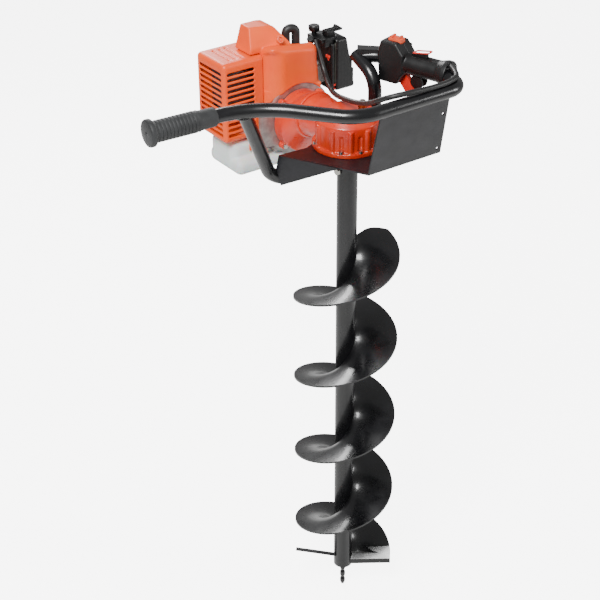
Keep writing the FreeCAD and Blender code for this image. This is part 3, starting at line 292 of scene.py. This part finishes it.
def slab(name, low, high, bevelMm=1.0):
    # a block between two corners in mm, its edges eased
    deselectAll()
    low = Vector(low) * mm
    high = Vector(high) * mm
    bpy.ops.mesh.primitive_cube_add(size=1, location=(low + high) / 2, scale=high - low)
    piece = bpy.context.active_object
    piece.name = name
    bpy.ops.object.transform_apply(location=True, rotation=True, scale=True)
    applied(piece, "BEVEL", width=bevelMm * mm, segments=3, limit_method="NONE")
    bpy.ops.object.shade_smooth_by_angle(angle=math.radians(40))
    return piece


def turnedPiece(name, profile, place, along, sides=48, smoothDegrees=35):
    # pairs of distance and radius in mm, extruded ring by ring from one closed end to the other
    deselectAll()
    firstDistance, firstRadius = profile[0]
    bpy.ops.mesh.primitive_circle_add(vertices=sides, radius=firstRadius * mm, fill_type="NGON",
                                      location=(0, 0, firstDistance * mm))
    piece = bpy.context.active_object
    piece.name = name
    bpy.ops.object.transform_apply(location=True, rotation=True, scale=True)
    bpy.ops.object.mode_set(mode="EDIT")
    for (nearDistance, nearRadius), (distance, radius) in zip(profile, profile[1:]):
        step = (0, 0, (distance - nearDistance) * mm)
        bpy.ops.mesh.extrude_region_move(TRANSFORM_OT_translate={"value": step})
        ratio = radius / nearRadius
        bpy.ops.transform.resize(value=(ratio, ratio, 1), center_override=(0, 0, distance * mm))
    bpy.ops.mesh.select_all(action="SELECT")
    bpy.ops.mesh.normals_make_consistent(inside=False)
    bpy.ops.object.mode_set(mode="OBJECT")
    piece.rotation_euler = Vector(along).to_track_quat("Z", "Y").to_euler()
    piece.location = Vector(place) * mm
    bpy.ops.object.transform_apply(location=True, rotation=True, scale=True)
    bpy.ops.object.shade_smooth_by_angle(angle=math.radians(smoothDegrees))
    return piece


def fit(piece, slot, *replaced, body="frame"):
    dress(piece, finishes[slot])
    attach(piece, body)
    for node in replaced:
        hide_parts(node)
    return piece


def weldBead(name, place, along, radius, bead, ripples=34):
    # a fillet weld round a tube: a ring pinched into ripples where the torch paused
    ripple = 0.16
    sag = 0.1
    sagWaves = 5
    deselectAll()
    bpy.ops.mesh.primitive_torus_add(major_radius=radius * mm, minor_radius=bead * mm, major_segments=144,
                                     minor_segments=12, location=(0, 0, 0))
    piece = bpy.context.active_object
    piece.name = name
    for vertex in piece.data.vertices:
        angle = math.atan2(vertex.co.y, vertex.co.x)
        ring = Vector((math.cos(angle), math.sin(angle), 0)) * radius * mm
        swell = 1 + ripple * math.sin(ripples * angle) + sag * math.sin(sagWaves * angle)
        vertex.co = ring + (vertex.co - ring) * swell
    piece.rotation_euler = Vector(along).to_track_quat("Z", "Y").to_euler()
    piece.location = Vector(place) * mm
    bpy.ops.object.transform_apply(location=True, rotation=True, scale=True)
    bpy.ops.object.shade_smooth()
    return piece


# ---- engine covers
# distances in mm along X and Z, and how far the moulding is pushed at each
shroud = {"voxelMm": 1.3, "rounds": 12, "keep": 0.45,
          "leftFrom": -30, "leftTo": -62, "leftBack": 24,
          "rightFrom": 10, "rightBack": 10, "frontDepth": 40,
          "rightLow": 1100, "rightHigh": 1145, "humpFoot": 1178, "humpFade": 12,
          "fallFrom": -42, "fallLow": 1125, "fallHigh": 1170, "fallSlope": 0.16,
          "screwAt": (-34, 158, 1193), "screwAlong": (0.1, -1, 0.42),
          "screwProfile": [(-4, 7), (0.6, 7), (1.4, 6.2), (1.4, 4.6), (-1.5, 4.4), (-1.5, 3.2), (-0.2, 3.0),
                           (0.1, 2.4)]}


def share(value, start, end):
    # how far a value has gone from start to end, held between 0 and 1
    return min(max((value - start) / (end - start), 0.0), 1.0)


def makeShroud():
    piece = cadCopy("cylinderShroud", "cylinder_cover")
    applied(piece, "REMESH", mode="VOXEL", voxel_size=shroud["voxelMm"] * mm)
    low, high = (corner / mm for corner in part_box("cylinder_cover"))
    for vertex in piece.data.vertices:
        x, y, z = vertex.co / mm
        nearFront = max(0.0, 1 - (y - low.y) / shroud["frontDepth"])
        # the left corner sweeps back to meet the guard, and the right one is only rounded
        left = shroud["leftBack"] * share(x, shroud["leftFrom"], shroud["leftTo"]) ** 2
        left *= share(z, shroud["humpFoot"], shroud["humpFoot"] - shroud["humpFade"])
        right = shroud["rightBack"] * share(x, shroud["rightFrom"], high.x) ** 3
        right *= share(z, shroud["rightLow"], shroud["rightHigh"])
        # the top falls away to the right
        fall = shroud["fallSlope"] * max(x - shroud["fallFrom"], 0.0)
        fall *= share(z, shroud["fallLow"], shroud["fallHigh"])
        vertex.co += Vector((0, (left + right) * nearFront, -fall)) * mm
    applied(piece, "SMOOTH", factor=0.5, iterations=shroud["rounds"])
    applied(piece, "DECIMATE", ratio=shroud["keep"])
    pick(piece)
    bpy.ops.object.shade_smooth()
    fit(piece, "shroud_orange", "cylinder_cover")
    # a screw sunk in a raised boss on the hump's face
    boss = turnedPiece("humpScrewBoss", shroud["screwProfile"], shroud["screwAt"], shroud["screwAlong"], 40)
    fit(boss, "shroud_orange")


# shallow grooves moulded in the guard's top, in mm
guard = {"grooves": 3, "length": 60, "width": 4.5, "pitch": 13, "depth": 1.6, "clear": 4, "fromLeft": 24,
         "fromFront": 16, "voxelMm": 1.35, "rounds": 5, "keep": 0.45}


def makeGuard():
    piece = cadCopy("mufflerGuardMoulding", "muffler_guard")
    low, high = (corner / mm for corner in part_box("muffler_guard"))
    y = low.y + guard["fromFront"]
    tools = []
    for index in range(guard["grooves"]):
        x = low.x + guard["fromLeft"] + index * guard["pitch"]
        tools.append(slab(f"groove{index}", (x, y, high.z - guard["depth"]),
                          (x + guard["width"], y + guard["length"], high.z + guard["clear"]), 0.5))
    carved(piece, *tools)
    softened(piece, guard["voxelMm"], guard["rounds"], guard["keep"])
    fit(piece, "shroud_orange", "muffler_guard")


makeShroud()
makeGuard()
print("engine covers made")

# ---- gearbox and bell
# name, CAD node, voxel in mm and share of the faces kept
castings = [
    ("gearcaseCasting", "gearbox_housing", 1.2, 0.45),
    ("clutchBellCasting", "clutch_housing", 1.1, 0.5),
]


def makeCastings():
    for name, node, voxelMm, keep in castings:
        piece = cadCopy(name, node)
        softened(piece, voxelMm, 4, keep)
        fit(piece, "cast_red", node)


makeCastings()
print("gearbox and bell made")

# ---- tank
def makeTank():
    piece = cadCopy("blownFuelTank", "fuel_tank")
    softened(piece, 1.6, 14, 0.6)
    fit(piece, "tank_natural", "fuel_tank")


makeTank()
print("tank made")

# ---- left grip
# ring profiles are pairs of distance along the grip and radius, in mm
leftGrip = {"start": (-401, 6.17, 1163), "along": (196, -11, 0), "ribs": 11, "firstRib": 18, "pitch": 6.6,
            "radius": 18.5, "dip": 1.6,
            "flange": [(0, 3), (0, 20.5), (1.0, 22.5), (3, 23.5), (8, 23.5), (9.5, 22.8), (12, 18.2)],
            "sleeve": [(93, 18.3), (96, 16.9), (118, 16.2), (124, 15.8), (125, 15.0), (125, 13.2)]}


def makeLeftGrip():
    crest = leftGrip["radius"]
    valley = crest - leftGrip["dip"]
    rib = [(-2.2, valley), (-1.2, crest - 0.2), (0, crest), (2.0, crest), (3.2, crest - 0.2), (3.9, valley)]
    profile = list(leftGrip["flange"])
    for index in range(leftGrip["ribs"]):
        near = leftGrip["firstRib"] + index * leftGrip["pitch"]
        profile += [(near + distance, radius) for distance, radius in rib]
    profile += leftGrip["sleeve"]
    piece = turnedPiece("ribbedFoamGrip", profile, leftGrip["start"], leftGrip["along"], 64, 50)
    dent = turnedPiece("gripVent", [(-3, 3), (4, 3)], leftGrip["start"], leftGrip["along"], 24)
    carved(piece, dent)
    fit(piece, "foam_grip", "left_grip")


makeLeftGrip()
print("left grip made")

# ---- throttle handle
def makeThrottleShells():
    for side in ("left", "right"):
        piece = cadCopy(f"throttleShellMoulding{side.title()}", f"throttle_shell_{side}")
        softened(piece, 0.9, 5, 0.4)
        fit(piece, "black_nylon", f"throttle_shell_{side}")


makeThrottleShells()
print("throttle handle made")

# ---- air filter
# sizes in mm; each next rib stops a little lower
airFilter = {"ribs": 5, "ribWidth": 3.2, "ribPitch": 7.5, "ribFromLeft": 4, "ribBelow": 8, "ribAbove": 12,
             "ribStep": 8, "ribOut": 0.2, "ribDeep": 3, "voxelMm": 1.0}
# low corner, high corner and edge of each block, in mm from the lid's top left edge, Y from the frame's zero
filterBlocks = {
    "clipBar": ((-26, 160, -6), (6, 206, 1.5), 1.6),
    "clipLip": ((-20, 157, -14), (2, 161, 3), 1.0),
    "hingeBlock": ((-8, 166, 1), (8, 184, 12), 2.0),
}
# ring profile, place, direction and sides
filterKnobs = {
    "roundKnob": ([(0, 5), (8, 5), (8, 9), (10, 10), (17, 10), (19, 8.6), (19, 3)], (-14, 200, -2), (0, 0, 1),
                  28),
    "smallKnob": ([(0, 4), (6, 4), (6, 7), (11, 7), (12, 6)], (-30, 186, -10), (-0.4, -0.2, 1), 24),
    "swivelPin": ([(-15, 3.4), (15, 3.4), (16, 2.6)], (4, 175, 12), (1, 0, 0), 20),
    "endKnob": ([(0, 4), (1, 6), (8, 6), (9, 4.6)], (18, 178, 8), (0.6, 0, 1), 20),
}
knobGrips = {"count": 6, "ring": 9.6, "centre": (-14, 200), "half": 1.6, "from": 7, "to": 16, "edge": 0.8}
redTabs = {
    "chokeFlag": ((-13, 155, -36), (-9, 166, -30), 1.2),
    "chokeStem": ((-12, 157, -40), (-10, 161, -30), 0.6),
    "drainTab": ((-4, 152, -92), (5, 158, -88), 1.0),
    "drainTabLower": ((-4, 152, -99), (2, 158, -96), 0.8),
}


def makeFilterTop():
    # the snap-over clips, wing knob and choke linkage that crowd the filter's top
    low, high = (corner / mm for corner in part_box("filter_cover"))
    corner = Vector((low.x, 0, high.z))
    parts = [slab(name, corner + Vector(near), corner + Vector(far), edge)
             for name, (near, far, edge) in filterBlocks.items()]
    parts += [turnedPiece(name, profile, corner + Vector(place), along, sides)
              for name, (profile, place, along, sides) in filterKnobs.items()]
    half = knobGrips["half"]
    for index in range(knobGrips["count"]):
        angle = 2 * math.pi * index / knobGrips["count"]
        x = knobGrips["centre"][0] + knobGrips["ring"] * math.cos(angle)
        y = knobGrips["centre"][1] + knobGrips["ring"] * math.sin(angle)
        parts.append(slab(f"knobGrip{index}", corner + Vector((x - half, y - half, knobGrips["from"])),
                          corner + Vector((x + half, y + half, knobGrips["to"])), knobGrips["edge"]))
    fit(joined("filterTopHardware", parts), "black_nylon")
    reds = [slab(name, corner + Vector(near), corner + Vector(far), edge)
            for name, (near, far, edge) in redTabs.items()]
    fit(joined("redChokeFlags", reds), "red_trigger")


def makeFilterCover():
    piece = cadCopy("filterLidMoulding", "filter_cover")
    low, high = (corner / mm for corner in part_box("filter_cover"))
    ribs = []
    for index in range(airFilter["ribs"]):
        x = low.x + airFilter["ribFromLeft"] + index * airFilter["ribPitch"]
        top = high.z - airFilter["ribAbove"] - index * airFilter["ribStep"]
        ribs.append(slab(f"filterRib{index}", (x, low.y - airFilter["ribOut"], low.z + airFilter["ribBelow"]),
                         (x + airFilter["ribWidth"], low.y + airFilter["ribDeep"], top), 0.8))
    piece = joined("filterLidMoulding", [piece] + ribs)
    softened(piece, airFilter["voxelMm"], 3, 0.45)
    fit(piece, "black_nylon", "filter_cover")


makeFilterTop()
makeFilterCover()
print("air filter made")

# ---- throttle cable's sheath: the same points as the frame's
conduitRoute = [(58, 178, 1166), (57.6, 164, 1140), (57.6, 146, 1108), (38, 104, 1098), (18, 60, 1106),
                (2, 16, 1119), (-6, -30, 1129), (-16, -82, 1148), (-23, -121, 1171), (-4, -147, 1183.3),
                (60, -150, 1180.3), (108, -148, 1180.3), (136, -134, 1182.3), (146.4, -94.5, 1184.4)]
conduit = {"diameter": 9.5 * mm, "length": 0.56}


def makeConduit():
    curve = bpy.data.curves.new("throttleCableSheath", "CURVE")
    curve.dimensions = "3D"
    curve.bevel_depth = conduit["diameter"] / 2
    curve.bevel_resolution = 6
    curve.resolution_u = 12
    curve.use_fill_caps = True
    spline = curve.splines.new("NURBS")
    spline.points.add(len(conduitRoute) - 1)
    for point, place in zip(spline.points, conduitRoute):
        point.co = (*(Vector(place) * mm), 1)
    # quadratic, from the first point to the last, as the frame's own route is
    spline.order_u = 3
    spline.use_endpoint_u = True
    piece = bpy.data.objects.new("throttleCableSheath", curve)
    bpy.context.scene.collection.objects.link(piece)
    dress(piece, finishes["black_rubber"])
    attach(piece, "frame")
    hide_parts("throttle_conduit")


makeConduit()
print("throttle cable made")

# ---- welds
# name, body, place, direction, tube's radius and the bead's own, in mm
welds = [
    ("legWeld", "frame", (-222, -3, 1151.5), (0.08, 0.05, -1), 14.0, 2.2),
    ("uprightWeld", "frame", (75, 20, 1038.6), (0, 0, 1), 12.8, 2.2),
    ("pilotWeld", "auger_bit", (0, 0, 62.5), (0, 0, 1), 9.5, 1.8),
]
for name, body, place, along, radius, bead in welds:
    fit(weldBead(name, place, along, radius, bead), "powder_black", body=body)
print("welds made")

# ---- stage, lights and camera
stage = {"floorHalf": 12.0, "floorGlow": 6.0, "skyStrength": 0.34}
deselectAll()
bpy.ops.mesh.primitive_plane_add(size=2 * stage["floorHalf"], location=(0, 0, 0))
floor = bpy.context.active_object
floor.name = "studioFloor"
floorPaper, floorTree, floorShader, floorPlace = newFinish("paleStudioPaper", Roughness=0.9)
floorShade = mottle(floorTree, floorPlace, 900, "#F1F1F0", "#F5F5F4")
floorTree.links.new(floorShade, floorShader.inputs["Base Color"])
# the paper glows to the camera only, so it is white in the picture and throws no light on the object
seen = addNode(floorTree, "LightPath").outputs["Is Camera Ray"]
glow = addNode(floorTree, "MapRange", {"Value": seen}, {"To Min": 0.0, "To Max": stage["floorGlow"]})
floorTree.links.new(glow.outputs["Result"], floorShader.inputs["Emission Strength"])
floorShader.inputs["Emission Color"].default_value = (1, 1, 1, 1)
dress(floor, floorPaper)

world = bpy.context.scene.world or bpy.data.worlds.new("studio")
bpy.context.scene.world = world
world.use_nodes = True
world.node_tree.nodes["Background"].inputs["Color"].default_value = (1, 1, 1, 1)
world.node_tree.nodes["Background"].inputs["Strength"].default_value = stage["skyStrength"]

# name, place, aimed at, size, watts
softboxes = [
    ("keySoftbox", (-1.6, -1.0, 3.0), (0, 0, 0.9), 1.0, 120),
    ("fillSoftbox", (2.2, -2.0, 1.8), (0, 0, 0.8), 0.8, 34),
    ("backSoftbox", (0.6, 2.4, 2.2), (0, 0, 0.9), 1.0, 55),
]
for name, place, aim, size, watts in softboxes:
    light = bpy.data.lights.new(name, "AREA")
    light.shape = "SQUARE"
    light.size = size
    light.energy = watts
    lamp = bpy.data.objects.new(name, light)
    bpy.context.scene.collection.objects.link(lamp)
    lamp.location = place
    lamp.rotation_euler = (Vector(aim) - Vector(place)).to_track_quat("-Z", "Y").to_euler()

view = {"place": (-1.4238, -1.8690, 2.1304), "downDegrees": 31.106, "turnDegrees": -35.18,
        "rollDegrees": -0.418, "lensMm": 86.68}
cameraData = bpy.data.cameras.new("studioCamera")
cameraData.lens = view["lensMm"]
cameraData.sensor_width = 36
cameraData.clip_end = 100
camera = bpy.data.objects.new("studioCamera", cameraData)
bpy.context.scene.collection.objects.link(camera)
camera.location = view["place"]
aimed = Euler((math.radians(90 - view["downDegrees"]), 0, math.radians(view["turnDegrees"]))).to_matrix()
camera.rotation_euler = (aimed @ Matrix.Rotation(math.radians(view["rollDegrees"]), 3, "Z")).to_euler()
bpy.context.scene.camera = camera
print("stage set")
